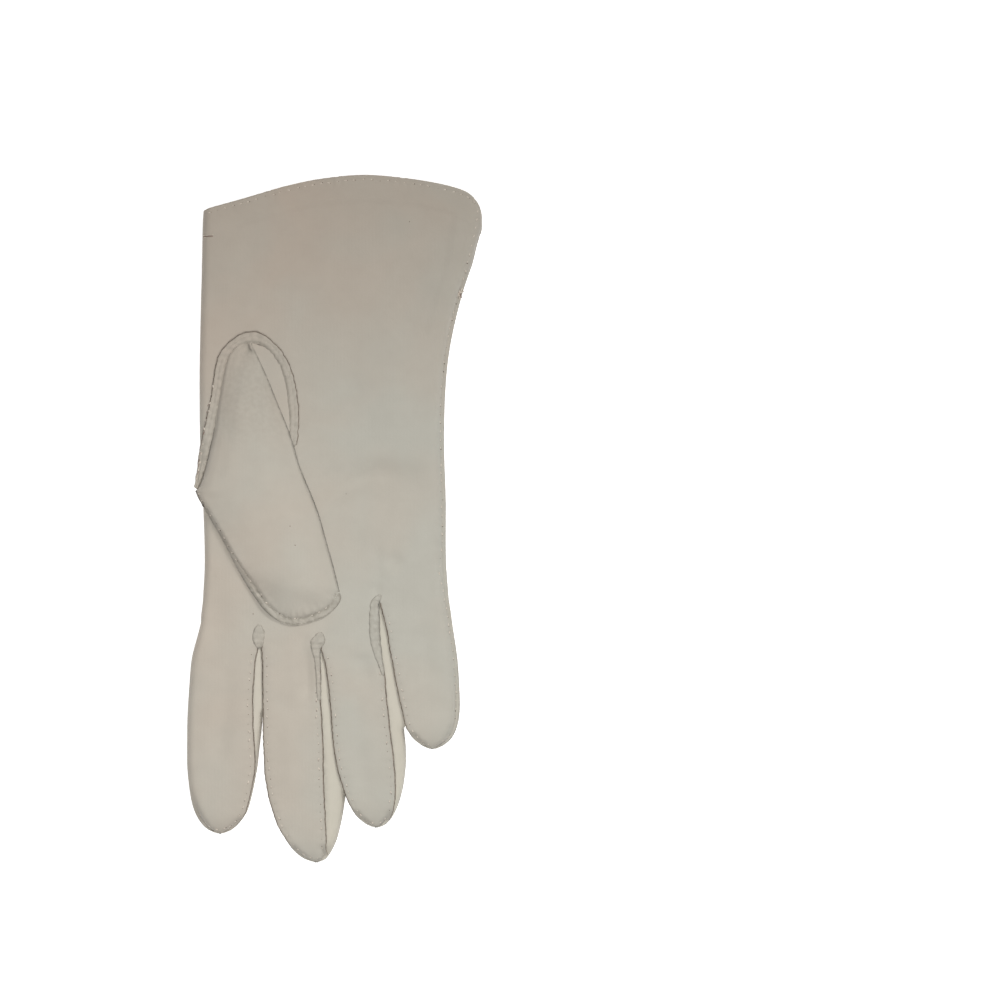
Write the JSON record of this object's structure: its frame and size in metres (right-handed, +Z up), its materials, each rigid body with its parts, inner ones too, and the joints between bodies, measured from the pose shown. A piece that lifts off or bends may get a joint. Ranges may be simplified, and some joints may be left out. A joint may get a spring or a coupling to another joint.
{
  "type": "dress glove",
  "caption": "Right-hand gauntlet-cuffed dress glove of thin ivory cloth lying flat palm up, with sewn-in thumb, fourchettes and a side vent.",
  "frame": {"origin": "on the surface that the glove lies on, below the middle of its box", "axes": "+Y from the fingers to the cuff, +X from the index finger's fold to the little finger's seam, +Z up out of the palm face"},
  "size_m": [0.104, 0.2404, 0.0147],
  "materials": {
    "trank_cloth": "fine matt ivory cloth with a faint sheen",
    "thumb_cloth": "fine matt ivory cloth with a faint sheen",
    "fourchette_cloth": "fine matt ivory cloth with a faint sheen"
  },
  "bodies": {
    "root": {"trank": "trank_cloth", "trank_index_finger": "trank_cloth", "thumb": "thumb_cloth", "fourchette_index_middle": "fourchette_cloth", "fourchette_middle_ring": "fourchette_cloth", "fourchette_ring_little": "fourchette_cloth"}
  },
  "joints": []
}
